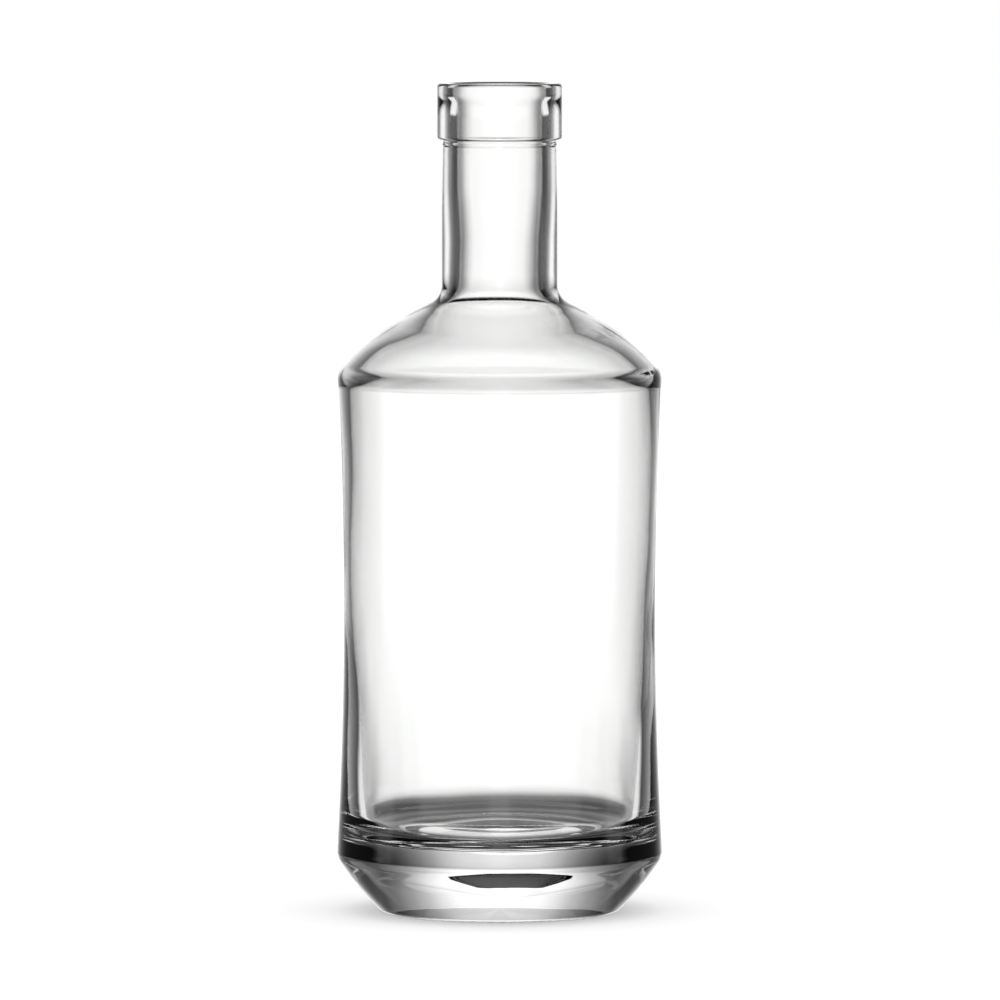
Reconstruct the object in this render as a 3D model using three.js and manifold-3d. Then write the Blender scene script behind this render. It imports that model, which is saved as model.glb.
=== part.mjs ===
// A clear glass bottle with a waisted body, a heavy base, a square lip ring and a chamfered heel.
// Millimetres, +Z up. The origin is the centre of the bearing ring, on the surface the bottle stands on.
import * as THREE from "three";
import { mergeVertices } from "three/addons/utils/BufferGeometryUtils.js";
import Module from "manifold-3d";

const wasm = await Module();
wasm.setup();

// Facets round the bottle
const ROUND_SEGMENTS = 56;

// The whole height, and lengths down from the lip: the ring, the neck, the rise of the shoulder
const BOTTLE_HEIGHT = 230;
const LIP_RING_HEIGHT = 15.6;
const NECK_LENGTH = 59.3;
const SHOULDER_RISE = 20.8;
const CROWN_RISE = 10.4;
const NECK_ROOT_HEIGHT = BOTTLE_HEIGHT - NECK_LENGTH;
const SHOULDER_CREASE_HEIGHT = NECK_ROOT_HEIGHT - SHOULDER_RISE;
const CROWN_HEIGHT = SHOULDER_CREASE_HEIGHT + CROWN_RISE;

// Heights of the waist and the heel over the surface it stands on
const WAIST_HEIGHT = 82.9;
const HEEL_CREASE_HEIGHT = 15.2;

// Outside radii
const LIP_RADIUS = 17.3;
const NECK_RADIUS = 16;
const NECK_TOP_RADIUS = 15.7;
const SHOULDER_RADIUS = 45.1;
const WAIST_RADIUS = 43.3;
const HEEL_RADIUS = 45.3;
const FOOT_RADIUS = 32.9;

// The groove and the fine bead under the lip ring
const GROOVE_HEIGHT = 0.9;
const BEAD_HEIGHT = 1.1;
const BEAD_DEPTH = 0.2;
const NECK_SWELL_DROP = 18;

// The shoulder's crown: where its upper and its lower slope would meet
const CROWN_RADIUS = 36.2;

// The share of the side, from the waist to each end, over which it bows
const BOW_SHARE = 0.82;

// The chamfer is a little convex: its two slopes meet here
const CHAMFER_BREAK_RADIUS = 39.5;
const CHAMFER_BREAK_HEIGHT = 6.5;

// The underside
const BEARING_INNER_RADIUS = 28.6;
const PUSH_UP_RADIUS = 23;
const PUSH_UP_HEIGHT = 2.6;
const PUSH_UP_CENTRE_HEIGHT = 3.4;

// The hollow: the mouth and the neck's bore
const MOUTH_RADIUS = 11.9;
const BORE_RADIUS = 11;
const MOUTH_STRAIGHT_DEPTH = 30;
const MOUTH_TAPER_DEPTH = 14;
const BORE_FLARE_DROP = 2;

// The hollow's shoulder: how far its corners lie inside and under the outer ones
const INNER_CROWN_INSET = 3.5;
const INNER_CROWN_DROP = 4.4;
const SHOULDER_WALL = 3.2;
const INNER_SHOULDER_DROP = 1.1;

// Wall thicknesses of the side
const WAIST_WALL = 2.1;
const WAIST_WALL_HEIGHT = 88;
const LOWER_WALL = 3.3;
const LOWER_WALL_HEIGHT = 56;

// The thick base
const FLOOR_HEIGHT = 21.6;
const FLOOR_RADIUS = 38.2;
const FLOOR_DOME_RADIUS = 19;
const FLOOR_DOME_HEIGHT = 0.9;

// Blend radii
const LIP_EDGE_BLEND = 1;
const LIP_UNDER_BLEND = 0.8;
const MOUTH_EDGE_BLEND = 1.3;
const NECK_SWELL_BLEND = 300;
const NECK_ROOT_BLEND = 5.2;
const CROWN_BLEND = 56;
const SHOULDER_BLEND = 6.2;
const HEEL_BLEND = 5.5;
const CHAMFER_BLEND = 75;
const FOOT_BLEND = 3;
const BEARING_BLEND = 0.5;
const PUSH_UP_BLEND = 5;
const BORE_BLEND = 60;
const BORE_FLARE_BLEND = 21;
const INNER_CROWN_BLEND = 88;
const INNER_SHOULDER_BLEND = 6;
const INNER_SIDE_BLEND = 500;
const FLOOR_CORNER_BLEND = 9;
const FLOOR_DOME_BLEND = 12;

// The registration notch that turns the bottle in a decorating machine, cut into the foot at the back
const NOTCH_WIDTH = 6.4;
const NOTCH_HEIGHT = 2.2;
const NOTCH_DEPTH = 1.3;
const NOTCH_TURN = THREE.MathUtils.degToRad(5.5);
const NOTCH_OVERCUT = 4;

// An outline is a list of corners with straight runs between them. Each corner has the radius of the arc
// that rounds it and the number of steps on that arc. A corner with no blend stays sharp.
function corner(radius, height, blend = 0, steps = 1) {
  return { point: new THREE.Vector2(radius, height), blend, steps };
}

// The points that round one corner between the two before and after it.
function roundedCorner(before, here, after) {
  if (here.blend === 0) return [here.point];
  const back = before.point.clone().sub(here.point).normalize();
  const ahead = after.point.clone().sub(here.point).normalize();
  const halfAngle = Math.acos(THREE.MathUtils.clamp(back.dot(ahead), -1, 1)) / 2;
  const tangentLength = here.blend / Math.tan(halfAngle);
  const toCentre = back.clone().add(ahead).setLength(here.blend / Math.sin(halfAngle));
  const firstSpoke = back.multiplyScalar(tangentLength).sub(toCentre);
  const lastSpoke = ahead.multiplyScalar(tangentLength).sub(toCentre);
  const turn = Math.atan2(firstSpoke.cross(lastSpoke), firstSpoke.dot(lastSpoke));
  const centre = toCentre.add(here.point);
  const hub = new THREE.Vector2();
  return Array.from({ length: here.steps + 1 }, (_, step) =>
    firstSpoke.clone().rotateAround(hub, (turn * step) / here.steps).add(centre),
  );
}

function roundedOutline(corners) {
  const last = corners.length - 1;
  return corners.flatMap((here, index) =>
    index === 0 || index === last
      ? [here.point]
      : roundedCorner(corners[index - 1], here, corners[index + 1]),
  );
}

// A side that bows in between two points to a given radius, as the corner and blend that make its arc.
function bowedSide(low, high, bowRadius, bowHeight, steps) {
  const share = (bowHeight - low.y) / (high.y - low.y);
  const chordRadius = THREE.MathUtils.lerp(low.x, high.x, share);
  const depth = chordRadius - bowRadius;
  const reach = Math.min(bowHeight - low.y, high.y - bowHeight);
  const cornerDepth = depth / (1 - BOW_SHARE / 2);
  const blend = (BOW_SHARE * reach * reach) / cornerDepth;
  return corner(chordRadius - cornerDepth, bowHeight, blend, steps);
}

// The outside, from the centre of the underside up to the lip.
function outsideCorners() {
  const ringBottom = BOTTLE_HEIGHT - LIP_RING_HEIGHT;
  const grooveBottom = ringBottom - GROOVE_HEIGHT;
  const beadBottom = grooveBottom - BEAD_HEIGHT;
  const heel = new THREE.Vector2(HEEL_RADIUS, HEEL_CREASE_HEIGHT);
  const shoulder = new THREE.Vector2(SHOULDER_RADIUS, SHOULDER_CREASE_HEIGHT);
  return [
    corner(0, PUSH_UP_CENTRE_HEIGHT),
    corner(PUSH_UP_RADIUS, PUSH_UP_HEIGHT, PUSH_UP_BLEND, 2),
    corner(BEARING_INNER_RADIUS, 0, BEARING_BLEND, 2),
    corner(FOOT_RADIUS, 0, FOOT_BLEND, 3),
    corner(CHAMFER_BREAK_RADIUS, CHAMFER_BREAK_HEIGHT, CHAMFER_BLEND, 2),
    corner(HEEL_RADIUS, HEEL_CREASE_HEIGHT, HEEL_BLEND, 4),
    bowedSide(heel, shoulder, WAIST_RADIUS, WAIST_HEIGHT, 6),
    corner(SHOULDER_RADIUS, SHOULDER_CREASE_HEIGHT, SHOULDER_BLEND, 4),
    corner(CROWN_RADIUS, CROWN_HEIGHT, CROWN_BLEND, 4),
    corner(NECK_RADIUS, NECK_ROOT_HEIGHT, NECK_ROOT_BLEND, 5),
    corner(NECK_RADIUS, grooveBottom - NECK_SWELL_DROP, NECK_SWELL_BLEND, 2),
    corner(NECK_TOP_RADIUS, beadBottom),
    corner(NECK_TOP_RADIUS + BEAD_DEPTH, beadBottom + BEAD_HEIGHT / 2),
    corner(NECK_TOP_RADIUS, grooveBottom),
    corner(NECK_TOP_RADIUS, ringBottom),
    corner(LIP_RADIUS, ringBottom, LIP_UNDER_BLEND, 2),
    corner(LIP_RADIUS, BOTTLE_HEIGHT, LIP_EDGE_BLEND, 3),
  ];
}

// The hollow, from the mouth down to the centre of the floor.
function hollowCorners() {
  const taperTop = BOTTLE_HEIGHT - MOUTH_STRAIGHT_DEPTH;
  const innerCrownRadius = CROWN_RADIUS - INNER_CROWN_INSET;
  const innerShoulderHeight = SHOULDER_CREASE_HEIGHT - INNER_SHOULDER_DROP;
  return [
    corner(MOUTH_RADIUS, BOTTLE_HEIGHT, MOUTH_EDGE_BLEND, 3),
    corner(MOUTH_RADIUS, taperTop, BORE_BLEND, 1),
    corner(BORE_RADIUS, taperTop - MOUTH_TAPER_DEPTH, BORE_BLEND, 1),
    corner(BORE_RADIUS, NECK_ROOT_HEIGHT - BORE_FLARE_DROP, BORE_FLARE_BLEND, 4),
    corner(innerCrownRadius, CROWN_HEIGHT - INNER_CROWN_DROP, INNER_CROWN_BLEND, 3),
    corner(SHOULDER_RADIUS - SHOULDER_WALL, innerShoulderHeight, INNER_SHOULDER_BLEND, 3),
    corner(WAIST_RADIUS - WAIST_WALL, WAIST_WALL_HEIGHT, INNER_SIDE_BLEND, 2),
    corner(WAIST_RADIUS - LOWER_WALL, LOWER_WALL_HEIGHT, INNER_SIDE_BLEND, 2),
    corner(FLOOR_RADIUS, FLOOR_HEIGHT, FLOOR_CORNER_BLEND, 4),
    corner(FLOOR_DOME_RADIUS, FLOOR_HEIGHT, FLOOR_DOME_BLEND, 1),
    corner(0, FLOOR_HEIGHT + FLOOR_DOME_HEIGHT),
  ];
}

// The whole section as one closed outline: up the outside, over the lip and down the hollow.
function sectionOutline() {
  const outside = outsideCorners();
  const hollow = hollowCorners();
  return roundedOutline([...outside, ...hollow]);
}

// A geometry as a solid: only positions, with shared vertices merged.
function solidOf(geometry) {
  const bare = new THREE.BufferGeometry();
  bare.setIndex(geometry.index);
  bare.setAttribute("position", geometry.attributes.position);
  const merged = mergeVertices(bare, 1e-4);
  return new wasm.Manifold(
    new wasm.Mesh({
      numProp: 3,
      vertProperties: new Float32Array(merged.attributes.position.array),
      triVerts: new Uint32Array(merged.index.array),
    }),
  );
}

function geometryOf(solid) {
  const mesh = solid.getMesh();
  const geometry = new THREE.BufferGeometry();
  geometry.setAttribute("position", new THREE.BufferAttribute(mesh.vertProperties, 3));
  geometry.setIndex(new THREE.BufferAttribute(mesh.triVerts, 1));
  return geometry;
}

function revolvedSection() {
  const lathe = new THREE.LatheGeometry(sectionOutline(), ROUND_SEGMENTS);
  lathe.rotateX(Math.PI / 2);
  return lathe;
}

// The block that cuts the registration notch, reaching in from outside the foot.
function notchCutter() {
  const innerFace = FOOT_RADIUS - NOTCH_DEPTH;
  const reach = NOTCH_DEPTH + NOTCH_OVERCUT;
  const block = new THREE.BoxGeometry(NOTCH_WIDTH, reach, NOTCH_HEIGHT + NOTCH_OVERCUT);
  block.translate(0, innerFace + reach / 2, (NOTCH_HEIGHT - NOTCH_OVERCUT) / 2);
  block.rotateZ(-NOTCH_TURN);
  return block;
}

function glassBottle() {
  const body = solidOf(revolvedSection()).subtract(solidOf(notchCutter()));
  const glass = new THREE.MeshStandardMaterial({
    color: 0xeef2f0,
    roughness: 0.03,
    metalness: 0,
    transparent: true,
    opacity: 0.35,
  });
  const bottle = new THREE.Mesh(geometryOf(body), glass);
  bottle.name = "glass_bottle";
  return bottle;
}

const part = new THREE.Group();
part.add(glassBottle());

export default part;
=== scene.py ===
"""A clear glass bottle on a plain white ground, in bright-field studio light."""

import math

import bpy
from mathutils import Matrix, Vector


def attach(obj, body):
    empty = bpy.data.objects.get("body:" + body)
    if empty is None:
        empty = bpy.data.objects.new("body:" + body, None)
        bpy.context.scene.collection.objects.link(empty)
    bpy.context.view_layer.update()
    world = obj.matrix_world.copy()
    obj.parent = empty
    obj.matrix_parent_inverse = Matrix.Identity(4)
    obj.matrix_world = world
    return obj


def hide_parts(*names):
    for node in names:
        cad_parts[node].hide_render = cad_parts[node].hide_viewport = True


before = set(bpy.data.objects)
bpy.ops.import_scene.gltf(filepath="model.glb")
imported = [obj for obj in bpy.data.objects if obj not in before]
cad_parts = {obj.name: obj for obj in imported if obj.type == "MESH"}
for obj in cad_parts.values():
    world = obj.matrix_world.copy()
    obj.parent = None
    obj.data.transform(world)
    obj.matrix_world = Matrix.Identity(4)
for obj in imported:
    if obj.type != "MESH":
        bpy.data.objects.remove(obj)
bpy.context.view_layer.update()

# Lengths are in millimetres, and radii are from the bottle's axis
MM = 0.001

# Facets round the bottle, and how finely a blend and a long run are cut into steps
ROUND_SEGMENTS = 280
STEP_TURN = math.radians(5)
LONGEST_STEP = 4.0
FEWEST_STEPS = 3

# The whole height, and lengths down from the lip
BOTTLE_HEIGHT = 230.0
LIP_RING_HEIGHT = 15.6
NECK_LENGTH = 59.3
SHOULDER_RISE = 20.8
CROWN_RISE = 10.4
NECK_ROOT_HEIGHT = BOTTLE_HEIGHT - NECK_LENGTH
SHOULDER_CREASE_HEIGHT = NECK_ROOT_HEIGHT - SHOULDER_RISE
CROWN_HEIGHT = SHOULDER_CREASE_HEIGHT + CROWN_RISE

# Heights over the ground
WAIST_HEIGHT = 82.9
HEEL_CREASE_HEIGHT = 15.2

# Outside radii
LIP_RADIUS = 17.3
NECK_RADIUS = 16.0
NECK_TOP_RADIUS = 15.7
SHOULDER_RADIUS = 45.1
WAIST_RADIUS = 43.3
HEEL_RADIUS = 45.3
FOOT_RADIUS = 32.9

# Groove and bead under the lip ring, and the neck's slight swell
GROOVE_HEIGHT = 0.9
BEAD_HEIGHT = 1.1
BEAD_DEPTH = 0.2
NECK_SWELL_DROP = 18.0

# Seam left under the bead by the neck-ring mould
SEAM_DROP = 1.3
SEAM_HALF_HEIGHT = 0.35
SEAM_DEPTH = 0.05

# Where the two slopes of the shoulder and of the chamfer meet
CROWN_RADIUS = 36.2
CHAMFER_BREAK_RADIUS = 39.5
CHAMFER_BREAK_HEIGHT = 6.5

# Underside
BEARING_INNER_RADIUS = 29.5
PUSH_UP_RADIUS = 24.4
PUSH_UP_HEIGHT = 3.1
PUSH_UP_CENTRE_HEIGHT = 2.8

# Radii of the arcs that round the outside, and how much of the side its bow takes up
PUSH_UP_BLEND = 5.0
BEARING_EDGE_BLEND = 0.5
FOOT_BLEND = 3.0
CHAMFER_BLEND = 75.0
HEEL_BLEND = 5.5
BOW_SHARE = 0.82
SHOULDER_BLEND = 6.2
CROWN_BLEND = 56.0
NECK_ROOT_BLEND = 5.8
NECK_SWELL_BLEND = 300.0
FINE_BLEND = 0.3
BEAD_BLEND = 0.4
RING_EDGE_BLEND = 0.8
LIP_EDGE_BLEND = 1.0

# Hollow: the mouth and the neck's bore
MOUTH_TOP_RADIUS = 13.0
MOUTH_TOP_DEPTH = 3.9
MOUTH_STEP_DEPTH = 8.1
MOUTH_RADIUS = 11.9
MOUTH_STRAIGHT_DEPTH = 30.0
MOUTH_TAPER_DEPTH = 14.0
BORE_RADIUS = 11.0
BORE_FLARE_DROP = 2.5

# Hollow: how far its corners lie in from, and below, those of the outside
INNER_CROWN_INSET = 2.7
INNER_CROWN_DROP = 4.0
SHOULDER_WALL = 3.6
SHOULDER_DROP = 2.3
WAIST_WALL = 2.1
WAIST_WALL_HEIGHT = 88.0
LOWER_WALL = 3.6
LOWER_WALL_HEIGHT = 56.5

# Hollow: its floor, with a shallow dish in it
FLOOR_HEIGHT = 19.4
FLOOR_RADIUS = 37.2
DISH_RADIUS = 19.0
DISH_FLAT_SHARE = 0.35
DISH_DEPTH = 2.7

# Radii of the arcs that round the hollow
MOUTH_EDGE_BLEND = 1.3
MOUTH_TOP_BLEND = 7.0
MOUTH_STEP_BLEND = 22.0
MOUTH_TAPER_BLEND = 60.0
BORE_FLARE_BLEND = 16.0
INNER_CROWN_BLEND = 38.0
INNER_SHOULDER_BLEND = 5.0
WAIST_WALL_BLEND = 500.0
FLOOR_CORNER_BLEND = 9.0
DISH_EDGE_BLEND = 4.0
DISH_BLEND = 14.0

# Seams between the two halves of the body mould, at the bottle's sides
SIDE_SEAM_HEIGHT = 0.03
SIDE_SEAM_HALF_WIDTH = 0.95

# Registration notch in the foot, near the back
NOTCH_WIDTH = 6.4
NOTCH_HEIGHT = 2.2
NOTCH_DEPTH = 1.3
NOTCH_TURN = math.radians(5.5)
NOTCH_SOFTNESS = 0.25

# Knurling of the bearing ring: it stands on swept crescents, with shallow hollows in between.
# They fade in from the ring's inner edge, and out towards the foot's outer edge and upwards
KNURL_COUNT = 70
KNURL_DEPTH = 0.16
KNURL_SWEEP = 2.4
KNURL_INNER_FADE = (BEARING_INNER_RADIUS - 0.2, BEARING_INNER_RADIUS + 0.4)
KNURL_OUTER_FADE = (32.0, 33.2)
KNURL_HEIGHT_FADE = (0.3, 1.2)

# The blown inside is not quite true. It wanders to and fro along X, and this fades in and out by height
WANDER = 0.24
WANDER_LENGTH = 88.0
WANDER_START = 106.0
WANDER_FADE_IN = (30.0, 80.0)
WANDER_FADE_OUT = (170.0, 200.0)

# Its wall and its floor are uneven: each wave has a count round the axis, a turn in radians to the
# millimetre, a share of the depth, and a start in radians. The dish is off centre
WALL_WAVE_DEPTH = 0.045
WALL_WAVES = [(2, 1 / 17, 1.0, 0.0), (5, -1 / 11, 0.6, 0.0), (9, 1 / 5, 0.25, 1.3)]
FLOOR_WAVE_DEPTH = 0.05
FLOOR_WAVES = [(3, 1 / 3, 1.0, 0.0), (7, 0.0, 1.0, 2.1)]
FLOOR_FADE_OUT = (FLOOR_HEIGHT + 1.0, FLOOR_HEIGHT + 8.0)
DISH_SHIFT = 1.8
DISH_SHIFT_FADE_OUT = (DISH_RADIUS * DISH_FLAT_SHARE, FLOOR_RADIUS - 4.0)

# Glass, and the waves and ripple of its skin: scales are in cells to the metre
GLASS_TINT = (0.98, 0.985, 0.978, 1)
GLASS_IOR = 1.52
WAVE_SCALE = 55.0
WAVE_HEIGHT = 0.05
WAVE_DRAWN_OUT = (1, 1, 0.4)
RIPPLE_SCALE = 420.0
RIPPLE_HEIGHT = 0.0016

# Scuffs at the heel and the shoulder
SPECK_SCALE = 1500.0
SPECK_RANGE = (0.56, 0.7)
SCUFF_HALF_HEIGHT = 1.6
POLISHED_ROUGHNESS = 0.0
SCUFF_ROUGHNESS = 0.16

# White ground, sized in metres
GROUND_SIZE = 6.0
GROUND_COLOUR = (0.88, 0.88, 0.88, 1)
GROUND_GLOW = 0.31

# Camera, in metres: it stands in front, a little above the bottle's middle
CAMERA_DISTANCE = 2.75
CAMERA_HEIGHT = 0.300
CAMERA_AIM_HEIGHT = 0.11434
CAMERA_AIM_SIDE = 0.0001
CAMERA_CLIP_START = 0.01
FRAME_WIDTH = 0.27754

# Studio, as glass sees it: levels by degrees sideways and by degrees of rise.
# A tall panel stands behind the bottle, with lower ones at its sides and in front, over a pale table.
# The table's light has gaps, which keep the sides of the base and its dish dark from the front
PANEL_STRENGTH = 1.25
BACK_SIDE_FADE = [
    (0, 1), (3, 0.99), (6, 0.95), (9, 0.92), (11, 0.88), (15, 0.7), (19, 0.48), (24, 0.3), (30, 0.17),
    (38, 0.07), (47, 0.05), (180, 0.04),
]
BACK_RISE_FADE = [
    (-90, 0.05), (-34, 0.08), (-27, 0.2), (-21, 0.7), (-16, 0.9), (-11, 1.0), (2, 1.0),
    (11, 0.82), (16, 0.68), (22, 0.5), (27, 0.4), (33, 0.16), (40, 0.05), (90, 0.04),
]
OTHER_SIDE_FADE = [(0, 1.0), (5, 1.0), (9, 0.3), (14, 0.0), (90, 0.0)]
OTHER_RISE_FADE = [(-90, 0.0), (-16, 0.0), (-8, 0.62), (8, 0.62), (16, 0.0), (90, 0.0)]
TABLE_SIDE_FADE = [
    (0, 0.0), (36, 0.0), (42, 1.0), (58, 1.0), (66, 0.12), (108, 0.12), (116, 1.0), (180, 1.0),
]
TABLE_RISE_FADE = [
    (-90, 0.75), (-75, 0.75), (-62, 0.05), (-42, 0.05), (-34, 0.78), (-17, 0.78), (-12, 0.0), (90, 0.0),
]


def corner(radius, height, blend=0.0):
    """A corner of an outline, and the radius of the arc that rounds it."""
    return Vector((radius, height)), blend


def bowed_side(low, high, bow_radius, bow_height):
    """The corner and the blend that bow a side in between two points."""
    share = (bow_height - low.y) / (high.y - low.y)
    chord_radius = low.x + (high.x - low.x) * share
    depth = chord_radius - bow_radius
    reach = min(bow_height - low.y, high.y - bow_height)
    corner_depth = depth / (1 - BOW_SHARE / 2)
    return corner(chord_radius - corner_depth, bow_height, BOW_SHARE * reach * reach / corner_depth)


def rounded_corner(before, here, after):
    """The points of the arc that rounds one corner."""
    point, blend = here
    if blend == 0:
        return [point]
    back = (before[0] - point).normalized()
    ahead = (after[0] - point).normalized()
    half_angle = math.acos(max(-1.0, min(1.0, back.dot(ahead)))) / 2
    tangent_length = blend / math.tan(half_angle)
    to_centre = (back + ahead).normalized() * (blend / math.sin(half_angle))
    first_spoke = back * tangent_length - to_centre
    last_spoke = ahead * tangent_length - to_centre
    cross = first_spoke.x * last_spoke.y - first_spoke.y * last_spoke.x
    turn = math.atan2(cross, first_spoke.dot(last_spoke))
    arc_length = abs(turn) * blend
    steps = max(FEWEST_STEPS, math.ceil(abs(turn) / STEP_TURN), math.ceil(arc_length / LONGEST_STEP))
    points = []
    for step in range(steps + 1):
        angle = turn * step / steps
        spoke = Vector((
            first_spoke.x * math.cos(angle) - first_spoke.y * math.sin(angle),
            first_spoke.x * math.sin(angle) + first_spoke.y * math.cos(angle),
        ))
        points.append(point + to_centre + spoke)
    return points


def filled_in(points):
    """The same outline with long straight runs cut into short ones."""
    result = [points[0]]
    for point in points[1:]:
        start = result[-1]
        run = point - start
        pieces = max(1, math.ceil(run.length / LONGEST_STEP))
        result += [start + run * (piece / pieces) for piece in range(1, pieces + 1)]
    return result


def rounded_outline(corners):
    """The points of an outline whose corners, all but the first and the last, are rounded."""
    points = [corners[0][0]]
    for index in range(1, len(corners) - 1):
        points += rounded_corner(corners[index - 1], corners[index], corners[index + 1])
    return filled_in(points + [corners[-1][0]])


def outside_corners():
    """From the middle of the push-up, by the foot and the side, up to the lip's outer edge."""
    ring_bottom = BOTTLE_HEIGHT - LIP_RING_HEIGHT
    groove_bottom = ring_bottom - GROOVE_HEIGHT
    bead_bottom = groove_bottom - BEAD_HEIGHT
    seam = bead_bottom - SEAM_DROP
    heel = Vector((HEEL_RADIUS, HEEL_CREASE_HEIGHT))
    shoulder = Vector((SHOULDER_RADIUS, SHOULDER_CREASE_HEIGHT))
    return [
        corner(0, PUSH_UP_CENTRE_HEIGHT),
        corner(PUSH_UP_RADIUS, PUSH_UP_HEIGHT, PUSH_UP_BLEND),
        corner(BEARING_INNER_RADIUS, 0, BEARING_EDGE_BLEND),
        corner(FOOT_RADIUS, 0, FOOT_BLEND),
        corner(CHAMFER_BREAK_RADIUS, CHAMFER_BREAK_HEIGHT, CHAMFER_BLEND),
        corner(HEEL_RADIUS, HEEL_CREASE_HEIGHT, HEEL_BLEND),
        bowed_side(heel, shoulder, WAIST_RADIUS, WAIST_HEIGHT),
        corner(SHOULDER_RADIUS, SHOULDER_CREASE_HEIGHT, SHOULDER_BLEND),
        corner(CROWN_RADIUS, CROWN_HEIGHT, CROWN_BLEND),
        corner(NECK_RADIUS, NECK_ROOT_HEIGHT, NECK_ROOT_BLEND),
        corner(NECK_RADIUS, groove_bottom - NECK_SWELL_DROP, NECK_SWELL_BLEND),
        corner(NECK_TOP_RADIUS, seam - SEAM_HALF_HEIGHT, FINE_BLEND),
        corner(NECK_TOP_RADIUS + SEAM_DEPTH, seam, FINE_BLEND),
        corner(NECK_TOP_RADIUS, seam + SEAM_HALF_HEIGHT, FINE_BLEND),
        corner(NECK_TOP_RADIUS, bead_bottom, FINE_BLEND),
        corner(NECK_TOP_RADIUS + BEAD_DEPTH, bead_bottom + BEAD_HEIGHT / 2, BEAD_BLEND),
        corner(NECK_TOP_RADIUS, groove_bottom, FINE_BLEND),
        corner(NECK_TOP_RADIUS, ring_bottom, FINE_BLEND),
        corner(LIP_RADIUS, ring_bottom, RING_EDGE_BLEND),
        corner(LIP_RADIUS, BOTTLE_HEIGHT, LIP_EDGE_BLEND),
    ]


def hollow_corners():
    """From the lip's inner edge, down the bore and the wall, to the middle of the floor."""
    taper_top = BOTTLE_HEIGHT - MOUTH_STRAIGHT_DEPTH
    return [
        corner(MOUTH_TOP_RADIUS, BOTTLE_HEIGHT, MOUTH_EDGE_BLEND),
        corner(MOUTH_TOP_RADIUS, BOTTLE_HEIGHT - MOUTH_TOP_DEPTH, MOUTH_TOP_BLEND),
        corner(MOUTH_RADIUS, BOTTLE_HEIGHT - MOUTH_STEP_DEPTH, MOUTH_STEP_BLEND),
        corner(MOUTH_RADIUS, taper_top, MOUTH_TAPER_BLEND),
        corner(BORE_RADIUS, taper_top - MOUTH_TAPER_DEPTH, MOUTH_TAPER_BLEND),
        corner(BORE_RADIUS, NECK_ROOT_HEIGHT - BORE_FLARE_DROP, BORE_FLARE_BLEND),
        corner(CROWN_RADIUS - INNER_CROWN_INSET, CROWN_HEIGHT - INNER_CROWN_DROP, INNER_CROWN_BLEND),
        corner(SHOULDER_RADIUS - SHOULDER_WALL, SHOULDER_CREASE_HEIGHT - SHOULDER_DROP, INNER_SHOULDER_BLEND),
        corner(WAIST_RADIUS - WAIST_WALL, WAIST_WALL_HEIGHT, WAIST_WALL_BLEND),
        corner(WAIST_RADIUS - LOWER_WALL, LOWER_WALL_HEIGHT, WAIST_WALL_BLEND),
        corner(FLOOR_RADIUS, FLOOR_HEIGHT, FLOOR_CORNER_BLEND),
        corner(DISH_RADIUS, FLOOR_HEIGHT, DISH_EDGE_BLEND),
        corner(DISH_RADIUS * DISH_FLAT_SHARE, FLOOR_HEIGHT - DISH_DEPTH, DISH_BLEND),
        corner(0, FLOOR_HEIGHT - DISH_DEPTH),
    ]


def step_up(value, start, end):
    """0 up to the start, 1 from the end on, and a smooth step in between."""
    share = max(0.0, min(1.0, (value - start) / (end - start)))
    return share * share * (3 - 2 * share)


def wave_sum(waves, angle, along):
    """The sum of some waves round the axis that turn along a length."""
    total = 0.0
    for count, turn, share, start in waves:
        total += share * math.sin(count * angle + turn * along + start)
    return total


def outside_point(radius, height, angle):
    """A point of the moulded outside, with the notch and the knurling of the foot, and the side seams."""
    from_notch = abs(angle - (math.pi / 2 - NOTCH_TURN)) * radius
    across = 1 - step_up(from_notch, NOTCH_WIDTH / 2 - NOTCH_SOFTNESS, NOTCH_WIDTH / 2 + NOTCH_SOFTNESS)
    below = 1 - step_up(height, NOTCH_HEIGHT - NOTCH_SOFTNESS, NOTCH_HEIGHT + NOTCH_SOFTNESS)
    outward = step_up(radius, FOOT_RADIUS - FOOT_BLEND, FOOT_RADIUS - NOTCH_DEPTH)
    cut = NOTCH_DEPTH * across * below * outward
    on_ring = step_up(radius, *KNURL_INNER_FADE)
    on_ring *= 1 - step_up(radius, *KNURL_OUTER_FADE)
    on_ring *= 1 - step_up(height, *KNURL_HEIGHT_FADE)
    crescent = 0.5 + 0.5 * math.sin(KNURL_COUNT * angle + KNURL_SWEEP * (radius - FOOT_RADIUS))
    from_seam = abs(math.sin(angle)) * radius
    radius += SIDE_SEAM_HEIGHT * max(0.0, 1 - from_seam / SIDE_SEAM_HALF_WIDTH)
    radius -= cut
    height += KNURL_DEPTH * on_ring * crescent
    return radius * math.cos(angle), radius * math.sin(angle), height


def inside_point(radius, height, angle):
    """A point of the blown inside, with its small faults."""
    swing = math.sin(math.tau * (height - WANDER_START) / WANDER_LENGTH)
    centre = WANDER * swing * step_up(height, *WANDER_FADE_IN) * (1 - step_up(height, *WANDER_FADE_OUT))
    spread = radius / WAIST_RADIUS
    near_floor = 1 - step_up(height, *FLOOR_FADE_OUT)
    radius += WALL_WAVE_DEPTH * spread * wave_sum(WALL_WAVES, angle, height)
    height += FLOOR_WAVE_DEPTH * near_floor * spread * wave_sum(FLOOR_WAVES, angle, radius)
    centre += DISH_SHIFT * near_floor * (1 - step_up(radius, *DISH_SHIFT_FADE_OUT))
    return centre + radius * math.cos(angle), radius * math.sin(angle), height


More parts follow.
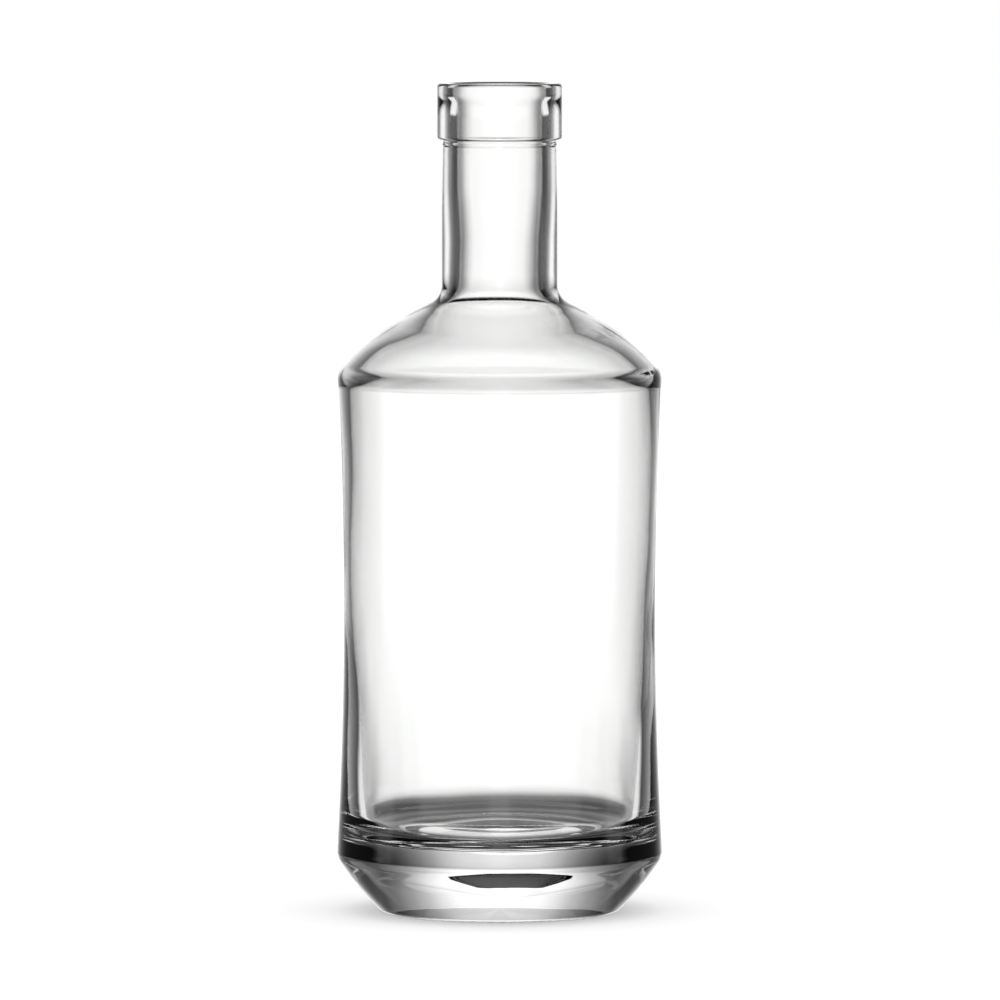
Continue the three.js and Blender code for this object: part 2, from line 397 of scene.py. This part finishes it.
def revolved(name, outline):
    """A closed mesh round the axis. Its outline runs from the foot up over the lip and down inside."""
    vertices = [(0, 0, outline[0].y * MM)]
    rings = outline[1:-1]
    top = max(range(len(rings)), key=lambda ring: rings[ring].y)
    for ring, point in enumerate(rings):
        surface_point = outside_point if ring <= top else inside_point
        for segment in range(ROUND_SEGMENTS):
            place = surface_point(point.x, point.y, math.tau * segment / ROUND_SEGMENTS)
            vertices.append([length * MM for length in place])
    vertices.append((0, 0, outline[-1].y * MM))
    last_vertex = len(vertices) - 1
    last_ring = 1 + (len(rings) - 1) * ROUND_SEGMENTS
    faces = []
    for segment in range(ROUND_SEGMENTS):
        following = (segment + 1) % ROUND_SEGMENTS
        faces.append((0, 1 + following, 1 + segment))
        faces.append((last_vertex, last_ring + segment, last_ring + following))
    for ring in range(len(rings) - 1):
        low = 1 + ring * ROUND_SEGMENTS
        high = low + ROUND_SEGMENTS
        for segment in range(ROUND_SEGMENTS):
            following = (segment + 1) % ROUND_SEGMENTS
            faces.append((low + segment, low + following, high + following, high + segment))
    mesh = bpy.data.meshes.new(name)
    mesh.from_pydata(vertices, [], faces)
    mesh.shade_smooth()
    mesh.update()
    return mesh


def node(tree, kind, **inputs):
    """A new node with some of its inputs set. An underscore stands for a space in an input's name."""
    made = tree.nodes.new(kind)
    for key, value in inputs.items():
        made.inputs[key.replace("_", " ")].default_value = value
    return made


def math_node(tree, operation, first, second=None):
    """The result of a sum on numbers or on other nodes' outputs."""
    made = tree.nodes.new("ShaderNodeMath")
    made.operation = operation
    for socket, value in zip(made.inputs, (first, second)):
        if value is None:
            continue
        if isinstance(value, (int, float)):
            socket.default_value = value
        else:
            tree.links.new(value, socket)
    return made.outputs[0]


def mapped(tree, value, taken, given=(0.0, 1.0), interpolation="LINEAR"):
    """A value moved from one range to another, and held inside it."""
    made = node(
        tree, "ShaderNodeMapRange", From_Min=taken[0], From_Max=taken[1], To_Min=given[0], To_Max=given[1],
    )
    made.interpolation_type = interpolation
    tree.links.new(value, made.inputs["Value"])
    return made.outputs[0]


def noise(tree, place, scale, detail):
    """A noise by place."""
    made = node(tree, "ShaderNodeTexNoise", Scale=scale, Detail=detail)
    tree.links.new(place, made.inputs["Vector"])
    return made.outputs[0]


def bump(tree, level, height):
    """A bump node that raises a surface by a level times a height."""
    made = node(tree, "ShaderNodeBump", Distance=height * MM, Strength=1.0)
    tree.links.new(level, made.inputs["Height"])
    return made


def rubbed_band(tree, z, height):
    """1 at a height where bottles touch, and 0 away from it."""
    away = math_node(tree, "ABSOLUTE", math_node(tree, "SUBTRACT", z, height * MM))
    return mapped(tree, away, (0.0, SCUFF_HALF_HEIGHT * MM), (1.0, 0.0), "SMOOTHSTEP")


def glass_material():
    """Clear glass with faint waves and ripple in its skin, and scuffs where bottles rub together."""
    material = bpy.data.materials.new("clear_glass")
    material.use_nodes = True
    tree = material.node_tree
    links = tree.links
    shader = tree.nodes["Principled BSDF"]
    shader.inputs["Base Color"].default_value = GLASS_TINT
    shader.inputs["Transmission Weight"].default_value = 1.0
    shader.inputs["IOR"].default_value = GLASS_IOR

    place = tree.nodes.new("ShaderNodeTexCoord").outputs["Object"]
    drawn_out = node(tree, "ShaderNodeMapping", Scale=WAVE_DRAWN_OUT)
    links.new(place, drawn_out.inputs["Vector"])
    waves = bump(tree, noise(tree, drawn_out.outputs["Vector"], WAVE_SCALE, detail=2.0), WAVE_HEIGHT)
    ripple = bump(tree, noise(tree, place, RIPPLE_SCALE, detail=3.0), RIPPLE_HEIGHT)
    links.new(waves.outputs["Normal"], ripple.inputs["Normal"])
    links.new(ripple.outputs["Normal"], shader.inputs["Normal"])

    split = tree.nodes.new("ShaderNodeSeparateXYZ")
    links.new(place, split.inputs[0])
    z = split.outputs["Z"]
    specks = mapped(tree, noise(tree, place, SPECK_SCALE, detail=4.0), SPECK_RANGE)
    bands = math_node(
        tree, "ADD", rubbed_band(tree, z, HEEL_CREASE_HEIGHT), rubbed_band(tree, z, SHOULDER_CREASE_HEIGHT),
    )
    scuffs = math_node(tree, "MULTIPLY", bands, specks)
    roughness = mapped(tree, scuffs, (0.0, 1.0), (POLISHED_ROUGHNESS, SCUFF_ROUGHNESS))
    links.new(roughness, shader.inputs["Roughness"])
    return material


def make_bottle():
    outline = rounded_outline(outside_corners() + hollow_corners())
    mesh = revolved("bottle_glass", outline)
    bottle = bpy.data.objects.new("bottle_glass", mesh)
    bpy.context.collection.objects.link(bottle)
    mesh.materials.append(glass_material())
    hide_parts("glass_bottle")
    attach(bottle, "root")


def level_by_angle(tree, degrees, lowest, highest, stops):
    """A level that follows an angle by a list of stops."""
    share = mapped(tree, degrees, (lowest, highest))
    ramp = tree.nodes.new("ShaderNodeValToRGB")
    tree.links.new(share, ramp.inputs[0])
    elements = ramp.color_ramp.elements
    while len(elements) < len(stops):
        elements.new(0.5)
    for element, (angle, level) in zip(elements, stops):
        element.position = (angle - lowest) / (highest - lowest)
        element.color = (level, level, level, 1)
    return ramp.outputs[0]


def panel(tree, sideways, widest, rise, side_fade, rise_fade):
    """The level of one light, by degrees sideways from its middle and by degrees of rise."""
    across = level_by_angle(tree, sideways, 0, widest, side_fade)
    upwards = level_by_angle(tree, rise, -90, 90, rise_fade)
    return math_node(tree, "MULTIPLY", across, upwards)


def studio_world():
    """White for the camera and the ground. For glass, soft panels in a dark studio."""
    world = bpy.data.worlds.new("studio")
    bpy.context.scene.world = world
    world.use_nodes = True
    tree = world.node_tree
    tree.nodes.clear()
    output = tree.nodes.new("ShaderNodeOutputWorld")
    direction = tree.nodes.new("ShaderNodeTexCoord").outputs["Generated"]
    split = tree.nodes.new("ShaderNodeSeparateXYZ")
    tree.links.new(direction, split.inputs[0])
    to_degrees = 180 / math.pi

    round_angle = math_node(tree, "ARCTAN2", split.outputs["X"], split.outputs["Y"])
    from_back = math_node(tree, "ABSOLUTE", math_node(tree, "MULTIPLY", round_angle, to_degrees))
    from_sides = math_node(tree, "ABSOLUTE", math_node(tree, "SUBTRACT", from_back, 90.0))
    from_front = math_node(tree, "SUBTRACT", 180.0, from_back)
    from_others = math_node(tree, "MINIMUM", from_sides, from_front)
    rise = math_node(tree, "MULTIPLY", math_node(tree, "ARCSINE", split.outputs["Z"]), to_degrees)

    back = panel(tree, from_back, 180, rise, BACK_SIDE_FADE, BACK_RISE_FADE)
    others = panel(tree, from_others, 90, rise, OTHER_SIDE_FADE, OTHER_RISE_FADE)
    table = panel(tree, from_back, 180, rise, TABLE_SIDE_FADE, TABLE_RISE_FADE)
    level = math_node(tree, "MAXIMUM", math_node(tree, "MAXIMUM", back, others), table)
    seen_in_glass = node(tree, "ShaderNodeBackground", Strength=PANEL_STRENGTH)
    tree.links.new(level, seen_in_glass.inputs["Color"])
    plain = node(tree, "ShaderNodeBackground", Color=(1, 1, 1, 1), Strength=1.0)
    rays = tree.nodes.new("ShaderNodeLightPath")
    glossy = rays.outputs["Is Glossy Ray"]
    transmitted = rays.outputs["Is Transmission Ray"]
    mix = tree.nodes.new("ShaderNodeMixShader")
    tree.links.new(math_node(tree, "MAXIMUM", glossy, transmitted), mix.inputs[0])
    tree.links.new(plain.outputs[0], mix.inputs[1])
    tree.links.new(seen_in_glass.outputs[0], mix.inputs[2])
    tree.links.new(mix.outputs[0], output.inputs["Surface"])


def make_ground():
    material = bpy.data.materials.new("white_ground")
    material.use_nodes = True
    tree = material.node_tree
    tree.nodes.clear()
    output = tree.nodes.new("ShaderNodeOutputMaterial")
    diffuse = node(tree, "ShaderNodeBsdfDiffuse", Color=GROUND_COLOUR)
    glow = node(tree, "ShaderNodeEmission", Color=(1, 1, 1, 1), Strength=GROUND_GLOW)
    add = tree.nodes.new("ShaderNodeAddShader")
    tree.links.new(diffuse.outputs[0], add.inputs[0])
    tree.links.new(glow.outputs[0], add.inputs[1])
    tree.links.new(add.outputs[0], output.inputs["Surface"])
    bpy.ops.mesh.primitive_plane_add(size=GROUND_SIZE, location=(0, 0, 0))
    ground = bpy.context.object
    ground.name = "white_ground"
    ground.data.materials.append(material)
    ground.visible_transmission = False
    ground.visible_glossy = False


def make_camera():
    data = bpy.data.cameras.new("camera")
    camera = bpy.data.objects.new("camera", data)
    bpy.context.collection.objects.link(camera)
    camera.location = (CAMERA_AIM_SIDE, -CAMERA_DISTANCE, CAMERA_HEIGHT)
    aim = Vector((CAMERA_AIM_SIDE, 0, CAMERA_AIM_HEIGHT))
    sight = aim - camera.location
    camera.rotation_euler = sight.to_track_quat("-Z", "Y").to_euler()
    data.sensor_fit = "HORIZONTAL"
    data.angle = 2 * math.atan(FRAME_WIDTH / 2 / sight.length)
    data.clip_start = CAMERA_CLIP_START
    bpy.context.scene.camera = camera


bpy.context.scene.view_settings.view_transform = "Standard"

make_camera()
make_bottle()
make_ground()
studio_world()
